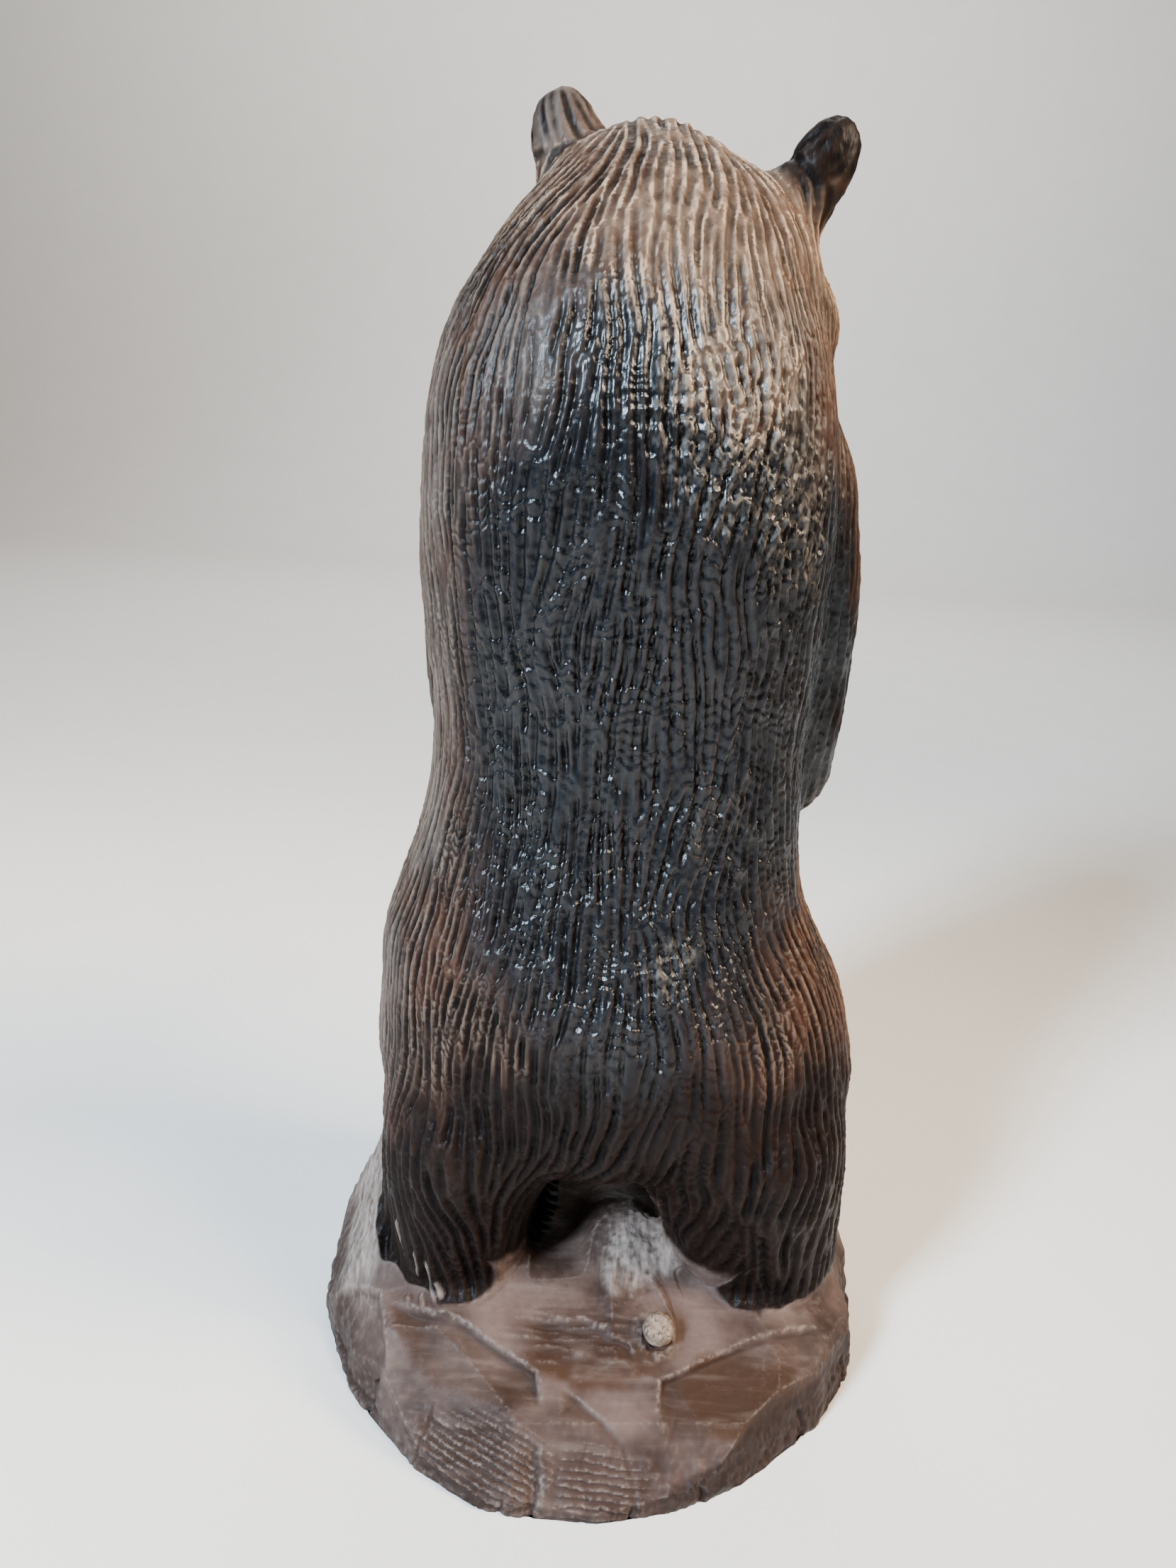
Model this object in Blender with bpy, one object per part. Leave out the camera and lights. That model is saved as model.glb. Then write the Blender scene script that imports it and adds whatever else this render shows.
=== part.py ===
"""A carved wooden bear that stands on its hind legs on a rock mound.

The bear and the mound are whittled from one block. A dead branch stub sits loose in the mound's back,
and each eye is a black glass bead on a wire shank, set in a drilled socket.
+Z is up, the bear faces -Y, and the origin is the middle of the mound's underside.
"""

from math import copysign, cos, pi, radians, sin

import bmesh
import bpy
from mathutils import Matrix, Vector

MM = 0.001
FIT_GAP = 0.3 * MM  # all round a piece that sits in the wood

# Every table below is in millimetres.
# Mound: outline radius every 22.5 degrees, starting at +X and turning towards +Y, the back.
MOUND_RADII = (79, 77.5, 77, 79, 77.5, 74.5, 74, 76.5, 77.5, 78, 77, 77, 75, 77, 80, 80.5)
# Mound: (share of the outline radius, height)
MOUND_RINGS = (
    (0.96, -6), (1.0, 0), (1.0, 8), (0.99, 13), (0.955, 18), (0.88, 22.5), (0.74, 27), (0.56, 30), (0.3, 31),
)
# Rocks that swell out of the mound: (centre, radii)
ROCKS = (
    ((59, -8, 19), (19, 36, 27)),
    ((-61, -10, 18), (16, 30, 19)),
    ((6, -48, 17), (40, 22, 16)),
)
# Flat faces that a broad chisel left on the mound: (a point on the face, which way it faces)
CHISEL_CUTS = (
    ((38, 50, 23), (0.10, 0.50, 0.86)), ((28, 67, 10), (0.28, 0.66, 0.70)),
    ((0, 71, 8.5), (-0.05, 0.70, 0.71)), ((-38, 52, 21), (-0.16, 0.44, 0.88)),
    ((-50, 54.5, 8), (-0.66, 0.72, 0.18)), ((60, 46, 12), (0.72, 0.50, 0.48)),
    ((75, 5, 15), (0.90, 0.12, 0.42)), ((70, -40, 16), (0.75, -0.45, 0.48)),
    ((-75, 8, 12), (-0.92, 0.10, 0.38)), ((-67, -40, 12), (-0.72, -0.52, 0.46)),
    ((32, -67, 10), (0.30, -0.80, 0.52)), ((-28, -67, 11), (-0.25, -0.80, 0.54)),
    ((4, -63, 22), (0.05, -0.50, 0.86)), ((63, -14, 44), (0.45, -0.20, 0.87)),
    ((-64, -12, 35), (-0.35, -0.10, 0.93)),
)
ROOT_RIDGE = ((-8, 20, 27), (13, 32, 13))  # runs back from between the feet to the branch stub
ROOT_RIDGE_TURN = 16  # degrees, towards the bear's right

# Torso up to the crown: (height, middle x, half width, back y, front y)
TORSO = (
    (66, -1.5, 56, 37, -41), (71, -1.5, 62.5, 43, -47), (80, -1.5, 66.5, 47.5, -51.5),
    (92, -0.5, 65.5, 49, -55), (106, 1.2, 63.3, 49, -57), (119, 4.0, 59.3, 47, -58),
    (131, 5.4, 54.3, 43.5, -57.5), (145, 4.8, 50.5, 40, -56), (160, 3.8, 48.3, 38, -54),
    (178, 3.8, 47.8, 37.5, -51), (195, 4.4, 49.3, 39, -49), (212, 5.0, 50.3, 41, -47),
    (228, 5.2, 50.5, 43, -45), (243, 5.6, 49.5, 43.5, -42), (256, 5.8, 47.8, 42, -38),
    (268, 5.4, 44.6, 38.5, -36), (279, 4.6, 40.4, 33.5, -34), (289, 2.4, 36, 27, -32),
    (298, 2.2, 29.3, 18.5, -30), (306, 4.2, 18.9, 9.5, -26), (311, 4.6, 11.2, 2, -20),
    (313.5, 4, 5, -4, -13),
)
TORSO_WIDEST_Y = -6
# Legs: (height, middle x, half width, back y, front y)
LEFT_LEG = (
    (20, 38.5, 22.5, 33, -40), (30, 39, 23.1, 36, -42), (42, 39.8, 22.7, 38, -43), (53, 39, 24.3, 40, -46),
    (62, 37.2, 26.1, 42.5, -49), (74, 33, 29, 44, -50), (86, 31.5, 25, 38, -46), (96, 29, 17, 20, -32),
)
RIGHT_LEG = (
    (20, -46, 22.5, 31, -40), (30, -46, 23.5, 33, -42), (42, -42.7, 26.7, 36, -43),
    (53, -39.5, 29.5, 39, -46), (62, -37, 31, 42, -49), (74, -36.5, 29, 44, -50),
    (86, -34, 25, 38, -46), (96, -31, 17, 20, -32),
)
LEG_WIDEST_Y = -4
LEG_INNER_ROUNDNESS = 0.6  # 1 makes the leg's inner side round, less makes its corners squarer
FEET = (((37, -38, 35), (22, 25, 13.5)), ((-45.5, -37, 35), (21.5, 25, 13.5)))

# Arms, shoulder to wrist: (x, y, z, radius)
RIGHT_ARM = (
    (-29, -6, 248, 15), (-36.8, -11, 234, 14.6), (-41.2, -15, 213, 14.6), (-42.6, -18, 191, 14.2),
    (-43, -20, 172, 13.6), (-41.8, -24, 158.5, 13), (-36, -37, 159, 12.4), (-28.5, -49, 168, 12),
    (-22, -55, 179, 11.5),
)
LEFT_ARM = (
    (34, -9, 246, 15), (40, -17, 231, 14.5), (43.5, -25, 211, 14.2), (44.5, -28, 191, 13.8),
    (43.3, -30, 173, 13.2), (40.2, -34, 160.5, 12.6), (33.5, -45, 162, 12.2), (26, -53, 171, 11.8),
    (19.5, -57, 182, 11.3),
)
# Paws: (centre, radii), laid on the belly
PAWS = (((-18.5, -57, 187), (11.5, 9.5, 14)), ((16, -58, 190), (11.5, 9.5, 14)))

# Head: turned towards the bear's right
HEAD_MIDDLE = (-1.5, -17, 280.5)
HEAD_RADII = (36.8, 39, 27.3)
HEAD_TURN = 18  # degrees
CROWN_TILT = -7  # degrees, its right side lower
# Swells of the head, in its own frame, which looks along -Y: (centre, radii)
HEAD_SWELLS = (
    ((24, 1, -9), (17.8, 25, 17)), ((-24, 1, -9), (17.8, 25, 17)), ((0, -12, -14), (22, 30, 12)),
    ((0, -22, 1), (25, 25, 19)), ((13.5, -25, 9), (10, 12, 8)), ((-13.5, -25, 9), (10, 12, 8)),
)
# Muzzle, along the head's own -Y: (y, z, half width, half height)
MUZZLE = (
    (-18, -7, 26, 20), (-32, -8, 21, 16.5), (-43, -9.5, 17.2, 14.2), (-53, -10, 15, 12.8),
    (-60, -9.8, 13, 11.2), (-64, -9, 10, 8.8), (-66.5, -8, 5.5, 5),
)
# Ears: (base, tip, half width, half thickness)
EARS = (
    ((22.5, -14, 295), (27, -15, 322), 8.8, 5.6),
    ((-24.6, -3, 290.5), (-38.5, -2, 316.4), 7.8, 5.8),
)
EAR_PROFILE = ((0, 1.15), (0.25, 1.0), (0.5, 1.04), (0.72, 0.98), (0.88, 0.72), (0.97, 0.36))

# Eyes, in the head's own frame
EYE_MIDDLE = (14.6, -37.6, 5.2)
EYE_RADIUS = 3.4
WIRE_RADIUS = 0.6
WIRE_LENGTH = 9
WIRE_HOLE_LENGTH = 14

# Branch stub in the mound's back
KNOT_FACE = (-15.8, 45.5, 30)
KNOT_LEAN = 48  # degrees, its axis above the horizon
KNOT_RADIUS = 4.2
KNOT_LENGTH = 17
KNOT_TAPER = 0.72

CARVING_VOXEL = 2.2 * MM
CARVING_TRIANGLES = 7800
CHISEL_SMOOTH_ROUNDS = 2
FUR_SMOOTH_ROUNDS = 8
MOUND_TOP = 36
SAW_WIDTH = 400
SAW_DEPTH = 100


def clear_scene():
    for old in list(bpy.data.objects):
        bpy.data.objects.remove(old, do_unlink=True)


def wood_or_glass(name, colour, roughness, metallic=0.0):
    material = bpy.data.materials.new(name)
    material.use_nodes = True
    shader = material.node_tree.nodes["Principled BSDF"]
    shader.inputs["Base Color"].default_value = (*colour, 1)
    shader.inputs["Roughness"].default_value = roughness
    shader.inputs["Metallic"].default_value = metallic
    material.diffuse_color = (*colour, 1)
    return material


def new_object(name, shape, material=None):
    """Makes a named object from a bmesh, in metres, with its faces pointing out."""
    bmesh.ops.recalc_face_normals(shape, faces=shape.faces)
    mesh = bpy.data.meshes.new(name)
    shape.to_mesh(mesh)
    shape.free()
    made = bpy.data.objects.new(name, mesh)
    bpy.context.scene.collection.objects.link(made)
    if material:
        mesh.materials.append(material)
    return made


def bridge(shape, rings):
    """Joins closed rings of points, given in millimetres, into one closed body with flat ends."""
    rows = [[shape.verts.new(Vector(point) * MM) for point in ring] for ring in rings]
    count = len(rows[0])
    for low, high in zip(rows, rows[1:]):
        for i in range(count):
            j = (i + 1) % count
            shape.faces.new((low[i], low[j], high[j], high[i]))
    shape.faces.new(rows[0])
    shape.faces.new(reversed(rows[-1]))


def smooth_rows(rows, steps=4):
    """Adds rows between the given ones, on a curve that passes through them all."""
    filled = []
    for i in range(len(rows) - 1):
        around = (rows[max(i - 1, 0)], rows[i], rows[i + 1], rows[min(i + 2, len(rows) - 1)])
        for k in range(steps):
            t = k / steps
            filled.append([
                b + 0.5 * t * (c - a + t * (2 * a - 5 * b + 4 * c - d + t * (3 * (b - c) + d - a)))
                for a, b, c, d in zip(*around)
            ])
    filled.append(list(rows[-1]))
    return filled


def add_ball(shape, centre, radii, turn=None):
    """Adds an ellipsoid. turn is applied about its own middle."""
    place = Matrix.Translation(Vector(centre) * MM) @ (turn or Matrix.Identity(4))
    size = Matrix.Diagonal((*(r * MM for r in radii), 1))
    bmesh.ops.create_icosphere(shape, subdivisions=4, radius=1, matrix=place @ size)


def add_upright_loft(shape, stations, widest_y, inner_side=0, count=36):
    """Adds a body of level rings whose back and front bulge by different amounts. Its inner side is squarer."""
    rings = []
    for z, middle_x, half_width, back_y, front_y in smooth_rows(stations):
        ring = []
        for i in range(count):
            across, along = cos(2 * pi * i / count), sin(2 * pi * i / count)
            depth = back_y - widest_y if along > 0 else widest_y - front_y
            if across * inner_side > 0:
                across = copysign(abs(across) ** LEG_INNER_ROUNDNESS, across)
                along = copysign(abs(along) ** LEG_INNER_ROUNDNESS, along)
            ring.append((middle_x + half_width * across, widest_y + depth * along, z))
        rings.append(ring)
    bridge(shape, rings)


def oval(half_width, half_height, count):
    angles = [2 * pi * k / count for k in range(count)]
    return [Vector((half_width * cos(a), half_height * sin(a), 0)) for a in angles]


def add_limb(shape, path, count=20):
    """Adds a round limb along a path of (x, y, z, radius), with a ball at each end."""
    rows = smooth_rows(path)
    points = [Vector(row[:3]) for row in rows]
    rings = []
    for i, row in enumerate(rows):
        along = (points[min(i + 1, len(points) - 1)] - points[max(i - 1, 0)]).normalized()
        turn = Vector((0, 0, 1)).rotation_difference(along).to_matrix()
        rings.append([points[i] + turn @ point for point in oval(row[3], row[3], count)])
    bridge(shape, align_rings(rings))
    for x, y, z, radius in (path[0], path[-1]):
        add_ball(shape, (x, y, z), (radius,) * 3)


def align_rings(rings):
    """Starts each ring at the point nearest to the start of the ring before, so that no limb is twisted."""
    aligned = [rings[0]]
    for ring in rings[1:]:
        start = min(range(len(ring)), key=lambda k: (ring[k] - aligned[-1][0]).length)
        aligned.append(ring[start:] + ring[:start])
    return aligned


def add_mound(shape, count=64):
    rings = []
    steps = len(MOUND_RADII)
    for share, z in MOUND_RINGS:
        ring = []
        for i in range(count):
            place = i * steps / count
            low = int(place)
            blend = (1 - cos(pi * (place - low))) / 2
            radius = MOUND_RADII[low] * (1 - blend) + MOUND_RADII[(low + 1) % steps] * blend
            angle = 2 * pi * i / count
            ring.append((share * radius * cos(angle), share * radius * sin(angle), z))
        rings.append(ring)
    bridge(shape, rings)
    for centre, radii in ROCKS:
        add_ball(shape, centre, radii)
    for point, facing in CHISEL_CUTS:
        pare(shape, Vector(point) * MM, Vector(facing))
    add_ball(shape, *ROOT_RIDGE, Matrix.Rotation(radians(ROOT_RIDGE_TURN), 4, "Z"))


def pare(shape, point, facing):
    """Takes off all that lies outside a plane, and closes what the cut leaves open."""
    everything = shape.verts[:] + shape.edges[:] + shape.faces[:]
    bmesh.ops.bisect_plane(shape, geom=everything, plane_co=point, plane_no=facing, clear_outer=True)
    open_edges = [edge for edge in shape.edges if edge.is_boundary]
    bmesh.ops.holes_fill(shape, edges=open_edges, sides=0)


def head_frame():
    """The head's own frame, in metres: it looks along its -Y."""
    return Matrix.Translation(Vector(HEAD_MIDDLE) * MM) @ Matrix.Rotation(radians(-HEAD_TURN), 4, "Z")


def add_head(shape, count=28):
    turn = Matrix.Rotation(radians(-HEAD_TURN), 4, "Z")
    add_ball(shape, HEAD_MIDDLE, HEAD_RADII, turn @ Matrix.Rotation(radians(CROWN_TILT), 4, "Y"))
    for centre, radii in HEAD_SWELLS:
        add_ball(shape, Vector(HEAD_MIDDLE) + turn.to_3x3() @ Vector(centre), radii, turn)
    rings = []
    for y, z, half_width, half_height in smooth_rows(MUZZLE):
        ring = [Vector((p.x, y, z + p.y)) for p in oval(half_width, half_height, count)]
        rings.append([Vector(HEAD_MIDDLE) + turn.to_3x3() @ point for point in ring])
    bridge(shape, rings)


def add_ear(shape, base, tip, half_width, half_thickness, count=20):
    base, tip = Vector(base), Vector(tip)
    up = (tip - base).normalized()
    thick = Vector((0, 1, 0)) - up * up.y
    thick.normalize()
    wide = up.cross(thick)
    rings = []
    for share, swell in smooth_rows(EAR_PROFILE):
        middle = base.lerp(tip, share)
        ring = oval(half_width * swell, half_thickness * swell, count)
        rings.append([middle + wide * p.x + thick * p.y for p in ring])
    bridge(shape, rings)


def whittle(rough, material):
    """Turns the overlapping shapes into one smooth closed body."""
    block = new_object("carved_bear", rough, material)
    remesh = block.modifiers.new("one_body", "REMESH")
    remesh.mode = "VOXEL"
    remesh.voxel_size = CARVING_VOXEL
    bake_modifiers(block)
    fur = block.vertex_groups.new(name="fur")
    fur.add([v.index for v in block.data.vertices if v.co.z > MOUND_TOP * MM], 1, "REPLACE")
    for group, rounds in (("", CHISEL_SMOOTH_ROUNDS), ("fur", FUR_SMOOTH_ROUNDS)):
        soften = block.modifiers.new("soften", "SMOOTH")
        soften.factor = 0.5
        soften.iterations = rounds
        soften.vertex_group = group
    bake_modifiers(block)
    thin = block.modifiers.new("thin", "DECIMATE")
    triangles = sum(len(face.vertices) - 2 for face in block.data.polygons)
    thin.ratio = CARVING_TRIANGLES / triangles
    bake_modifiers(block)
    return block


def bake_modifiers(target):
    """Makes what the modifiers give the object's own mesh, so that the next step can measure it."""
    bpy.context.view_layer.update()
    shown = target.evaluated_get(bpy.context.evaluated_depsgraph_get())
    mesh = bpy.data.meshes.new_from_object(shown)
    target.modifiers.clear()
    target.data = mesh


def cut(target, cutter):
    """Cuts a hidden cutter out of the target with an exact Boolean."""
    cutter.hide_render = True
    cutter.display_type = "WIRE"
    step = target.modifiers.new("cut_" + cutter.name, "BOOLEAN")
    step.operation = "DIFFERENCE"
    step.solver = "EXACT"
    step.object = cutter


def flat_underside(target):
    """Saws the block off level at the ground."""
    shape = bmesh.new()
    below = Matrix.Translation((0, 0, -SAW_DEPTH / 2 * MM))
    size = Matrix.Diagonal((SAW_WIDTH * MM, SAW_WIDTH * MM, SAW_DEPTH * MM, 1))
    bmesh.ops.create_cube(shape, size=1, matrix=below @ size)
    cut(target, new_object("ground_saw", shape))


def round_rod(name, frame, radius, low, high, far_radius=None, material=None, segments=20):
    """A rod along its frame's Z, from low to high, all in millimetres."""
    shape = bmesh.new()
    middle = Matrix.Translation((0, 0, (low + high) / 2 * MM))
    bmesh.ops.create_cone(shape, cap_ends=True, segments=segments, radius1=(far_radius or radius) * MM,
                          radius2=radius * MM, depth=(high - low) * MM, matrix=frame @ middle)
    return new_object(name, shape, material)


def shade_round(target):
    target.data.shade_smooth()
    target.data.set_sharp_from_angle(angle=radians(40))


def add_eye(block, name, side, glass, steel):
    """A glass bead on a wire shank, and the socket and the hole that hold them."""
    x, y, z = EYE_MIDDLE
    middle = Vector((side * x, y, z)) * MM
    outwards = Vector((side * 0.45, -0.88, 0.12)).normalized()
    turn = Vector((0, 0, 1)).rotation_difference(outwards).to_matrix().to_4x4()
    frame = head_frame() @ Matrix.Translation(middle) @ turn
    bead = bmesh.new()
    bmesh.ops.create_uvsphere(bead, u_segments=20, v_segments=12, radius=EYE_RADIUS * MM, matrix=frame)
    shade_round(new_object(name + "_glass_eye", bead, glass))
    gap = FIT_GAP / MM
    shank_end = -EYE_RADIUS - gap
    shade_round(round_rod(name + "_eye_wire", frame, WIRE_RADIUS, shank_end - WIRE_LENGTH, shank_end,
                          material=steel, segments=12))
    socket = bmesh.new()
    socket_radius = (EYE_RADIUS + gap) * MM
    bmesh.ops.create_uvsphere(socket, u_segments=20, v_segments=12, radius=socket_radius, matrix=frame)
    cut(block, new_object(name + "_socket_cutter", socket))
    cut(block, round_rod(name + "_hole_cutter", frame, WIRE_RADIUS + gap, -WIRE_HOLE_LENGTH, 0, segments=12))


def add_knot(block, wood):
    """The dead branch stub, a tapered plug whose face shows in the mound's back."""
    turn = Matrix.Rotation(radians(KNOT_LEAN - 90), 4, "X")
    frame = Matrix.Translation(Vector(KNOT_FACE) * MM) @ turn
    gap = FIT_GAP / MM

    def radius_at(height):
        return KNOT_RADIUS * (1 + (1 - KNOT_TAPER) * height / KNOT_LENGTH)

    knot = round_rod("branch_knot", frame, KNOT_RADIUS, -KNOT_LENGTH, 0, radius_at(-KNOT_LENGTH), wood)
    shade_round(knot)
    low, high = -KNOT_LENGTH - gap, KNOT_LENGTH
    cut(block, round_rod("knot_socket_cutter", frame, radius_at(high) + gap, low, high, radius_at(low) + gap))


def build():
    clear_scene()
    dark_wood = wood_or_glass("dark_stained_wood", (0.055, 0.038, 0.030), 0.5)
    bare_wood = wood_or_glass("branch_wood", (0.42, 0.32, 0.24), 0.75)
    black_glass = wood_or_glass("black_glass", (0.01, 0.008, 0.006), 0.08)
    steel = wood_or_glass("steel_wire", (0.45, 0.44, 0.42), 0.35, 1.0)
    rough = bmesh.new()
    add_mound(rough)
    add_upright_loft(rough, TORSO, TORSO_WIDEST_Y)
    for leg, inner_side in ((LEFT_LEG, -1), (RIGHT_LEG, 1)):
        add_upright_loft(rough, leg, LEG_WIDEST_Y, inner_side)
    for centre, radii in (*FEET, *PAWS):
        add_ball(rough, centre, radii)
    for arm in (LEFT_ARM, RIGHT_ARM):
        add_limb(rough, arm)
    add_head(rough)
    for ear in EARS:
        add_ear(rough, *ear)
    block = whittle(rough, dark_wood)
    flat_underside(block)
    add_knot(block, bare_wood)
    add_eye(block, "left", 1, black_glass, steel)
    add_eye(block, "right", -1, black_glass, steel)


build()
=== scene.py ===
"""The looks of a carved wooden bear on a rock mound: gouged fur, chiselled rock, stained wood, dust and
wear, with painted shade, sheen and highlights.
"""

from math import cos, pi, radians, sin

import bmesh
import bpy
import numpy as np
from mathutils import Matrix, Vector
from mathutils.bvhtree import BVHTree
from mathutils.kdtree import KDTree


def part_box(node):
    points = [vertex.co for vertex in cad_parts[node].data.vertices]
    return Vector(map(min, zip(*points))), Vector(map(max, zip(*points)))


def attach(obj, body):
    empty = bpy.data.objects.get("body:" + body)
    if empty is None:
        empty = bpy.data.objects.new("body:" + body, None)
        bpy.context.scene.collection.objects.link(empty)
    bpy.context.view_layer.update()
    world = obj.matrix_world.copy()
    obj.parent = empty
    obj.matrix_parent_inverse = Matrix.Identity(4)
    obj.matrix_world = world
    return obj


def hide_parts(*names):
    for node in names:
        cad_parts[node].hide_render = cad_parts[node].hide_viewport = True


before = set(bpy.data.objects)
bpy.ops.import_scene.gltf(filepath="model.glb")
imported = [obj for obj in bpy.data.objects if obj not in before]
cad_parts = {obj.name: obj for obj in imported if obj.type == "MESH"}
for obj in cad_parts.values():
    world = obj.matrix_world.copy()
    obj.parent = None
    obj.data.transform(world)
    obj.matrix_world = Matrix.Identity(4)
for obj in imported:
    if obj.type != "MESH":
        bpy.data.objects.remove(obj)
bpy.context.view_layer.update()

low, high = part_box("carved_bear")
MM = (high.z - low.z) / 321  # one millimetre of the carving, from its height in the frame
SEED = 7

# Fine mesh
VOXEL = 1.02 * MM
KNOT_VOXEL = 0.45 * MM
EVEN_ROUNDS = 2
SOFTEN_ROUNDS = 14
ROCK_TOP = 34  # mm: above this height everything is bear, and is softened

# Fur gouges
STEP = 0.9 * MM  # along a gouge
NEAREST_CUTS = 6
GOUGE_DEPTH = 1.0  # mm
DEEPER_ON_BACK = 0.5
DEEPER_ON_LEGS = 0.75
SHALLOWER_ON_CROWN = 0.15
GOUGE_ROUNDNESS = 1.15  # the power in a gouge's profile: 1 is a V, 2 a hollow
ROUNDER_ON_CROWN = 0.9


def random(seed):
    return np.random.default_rng(SEED * 1000 + seed)


def soft_noise(points, size, seed):
    """Smooth noise from -1 to 1 whose blobs are about size across."""
    cells = 32
    lattice = random(seed).uniform(-1, 1, (cells, cells, cells))
    place = np.asarray(points) / size + seed * 3.7
    whole = np.floor(place).astype(int)
    part = place - whole
    part = part * part * (3 - 2 * part)
    total = np.zeros(len(place))
    for corner in range(8):
        bits = np.array([corner & 1, corner >> 1 & 1, corner >> 2 & 1])
        share = np.prod(np.where(bits, part, 1 - part), axis=1)
        total += share * lattice[tuple(((whole + bits) % cells).T)]
    return total


def smoothstep(edge0, edge1, value):
    t = np.clip((value - edge0) / (edge1 - edge0), 0, 1)
    return t * t * (3 - 2 * t)


def near(points, centre, radii):
    """1 at the middle of an ellipsoid, given in millimetres, fading to 0 at its edge."""
    reach = np.linalg.norm((points / MM - np.array(centre)) / np.array(radii), axis=1)
    return 1 - smoothstep(0.35, 1, reach)


def unit(vectors):
    return vectors / np.maximum(np.linalg.norm(vectors, axis=1, keepdims=True), 1e-9)


# ---------------------------------------------------------------- rough block

HEAD_MIDDLE = Vector((-1.5, -17, 280.5)) * MM
HEAD_TURN = Matrix.Rotation(radians(-18), 3, "Z")


def head_point(x, y, z):
    """A point given in the head's own frame, in millimetres."""
    return HEAD_MIDDLE + HEAD_TURN @ (Vector((x, y, z)) * MM)


def evaluated_copy(target):
    bpy.context.view_layer.update()
    shown = target.evaluated_get(bpy.context.evaluated_depsgraph_get())
    return bpy.data.meshes.new_from_object(shown)


def coordinates(mesh):
    flat = np.empty(len(mesh.vertices) * 3, np.float32)
    mesh.vertices.foreach_get("co", flat)
    return flat.reshape(-1, 3).astype(float)


def normals(mesh):
    flat = np.empty(len(mesh.vertices) * 3, np.float32)
    mesh.vertex_normals.foreach_get("vector", flat)
    return flat.reshape(-1, 3).astype(float)


def refine(node, name, voxel):
    """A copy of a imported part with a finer, even mesh."""
    part = bpy.data.objects.new(name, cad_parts[node].data.copy())
    bpy.context.scene.collection.objects.link(part)
    part.data.materials.clear()
    remesh = part.modifiers.new("even", "REMESH")
    remesh.mode = "VOXEL"
    remesh.voxel_size = voxel
    mesh = evaluated_copy(part)
    part.modifiers.clear()
    part.data = mesh
    return part


def fine_block():
    """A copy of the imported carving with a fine, even, smooth mesh."""
    block = refine("carved_bear", "bear_carving", VOXEL)
    points = coordinates(block.data)
    group = block.vertex_groups.new(name="soft")
    group.add([int(i) for i in np.nonzero(points[:, 2] > ROCK_TOP * MM)[0]], 1, "REPLACE")
    for name, rounds in (("", EVEN_ROUNDS), ("soft", SOFTEN_ROUNDS)):
        soften = block.modifiers.new("soften", "SMOOTH")
        soften.factor = 0.5
        soften.iterations = rounds
        soften.vertex_group = name
    fine = block.modifiers.new("fine", "SUBSURF")
    fine.levels = fine.render_levels = 1
    mesh = evaluated_copy(block)
    block.modifiers.clear()
    block.data = mesh
    block.vertex_groups.clear()
    return block


# ---------------------------------------------------------------- fur direction

# Guides: (place in mm, which way the gouge runs there, how far the guide reaches in mm)
GUIDES = (
    # crown and brow
    ((2, -5, 318), (0, 1, -0.6), 14),
    ((3, 25, 296), (0.0, 0.5, -1), 22),
    ((34, 5, 292), (0.8, 0.2, -1), 20),
    ((-28, 8, 290), (-0.45, 0.2, -1), 20),
    # back
    ((4, 44, 245), (0, 0, -1), 40),
    ((4, 38, 190), (0.03, 0, -1), 40),
    ((4, 42, 140), (-0.02, 0, -1), 40),
    ((2, 48, 100), (0, 0, -1), 35),
    # flanks
    ((52, 0, 240), (0.05, 0, -1), 35),
    ((54, 0, 180), (0, 0, -1), 40),
    ((-46, 5, 240), (-0.1, 0, -1), 30),
    ((-46, 5, 180), (0, 0, -1), 30),
    ((62, 0, 100), (0.1, 0, -1), 35),
    ((-62, 0, 100), (-0.1, 0, -1), 35),
    # rump and hind legs
    ((30, 40, 80), (0.18, 0, -1), 22),
    ((-30, 40, 80), (-0.22, 0, -1), 22),
    ((0, 42, 72), (0.1, -0.2, -1), 14),
    ((40, 30, 45), (-0.12, 0, -1), 22),
    ((-46, 30, 45), (0.1, 0, -1), 22),
    # chest and belly
    ((0, -50, 230), (0, 0, -1), 30),
    ((0, -56, 130), (0, 0, -1), 45),
    ((0, -54, 90), (0, 0, -1), 30),
    # forearms and paws
    ((-42, -20, 158), (0.3, -1, -0.1), 13),
    ((40, -32, 158), (-0.3, -1, -0.1), 13),
    ((-28, -50, 168), (0.6, -0.5, 0.9), 14),
    ((26, -54, 170), (-0.6, -0.4, 0.9), 14),
    ((-18, -60, 188), (0.2, -0.1, 1), 12),
    ((16, -61, 190), (-0.2, -0.1, 1), 12),
    # feet
    ((37, -45, 48), (0, -1, -0.5), 18),
    ((-45, -45, 48), (0, -1, -0.5), 18),
)
EAR_AXES = (((22.5, -14, 300), (27, -15, 322)), ((-25.2, -3, 297), (-39.5, -2, 316)))  # (base, tip), mm
EAR_REACH = (15, 15, 26)  # how far round an ear's tip its smoother finish reaches, mm
NOSE = (0, -66, -8)  # in the head's own frame


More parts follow.
